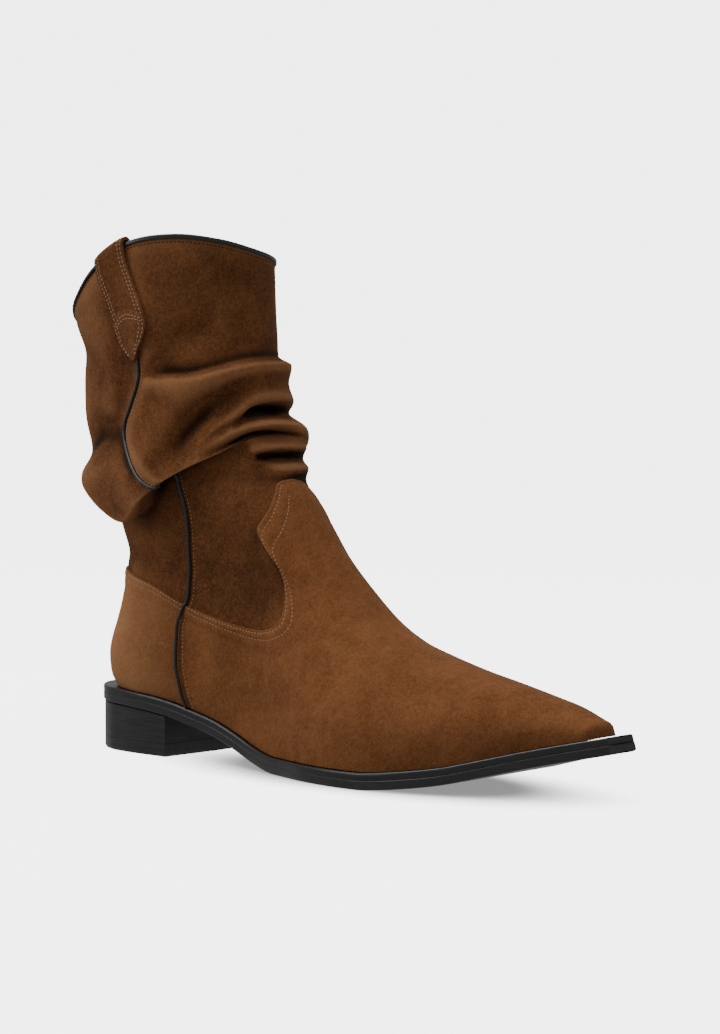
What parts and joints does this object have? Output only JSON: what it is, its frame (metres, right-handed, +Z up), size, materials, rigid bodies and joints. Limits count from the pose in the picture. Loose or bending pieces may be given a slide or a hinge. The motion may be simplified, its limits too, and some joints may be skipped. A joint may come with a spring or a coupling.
{
  "type": "slouch boot",
  "caption": "Right slouch ankle boot in brown suede with a pointed toe, low black block heel, folded soft shaft, black piping and pull straps at the collar.",
  "frame": {"origin": "on the floor under the middle of the heel's tread face", "axes": "+X from heel to toe, +Y towards the inner side of the foot, +Z up"},
  "size_m": [0.3103, 0.0944, 0.2342],
  "materials": {
    "sole_rubber": "black rubber, satin",
    "welt_leather": "black edge-painted welt, semi-gloss",
    "heel_stack": "black painted stacked heel, satin",
    "top_piece_rubber": "black rubber, matt",
    "insole_leather": "plain tan, matt",
    "suede": "brown suede, lighter on vamp and counter",
    "binding_leather": "black folded binding, satin",
    "strap_suede": "brown suede with light stitching",
    "piping_leather": "black covered cord, satin"
  },
  "bodies": {
    "root": {"outsole": "sole_rubber", "welt": "welt_leather", "heel_block": "heel_stack", "heel_top_piece": "top_piece_rubber", "insole": "insole_leather", "upper": "suede", "collar_binding": "binding_leather", "pull_strap_outer": "strap_suede", "pull_strap_inner": "strap_suede", "piping_shaft_outer": "piping_leather", "piping_shaft_inner": "piping_leather", "piping_foot_outer": "piping_leather", "piping_foot_inner": "piping_leather"}
  },
  "joints": []
}
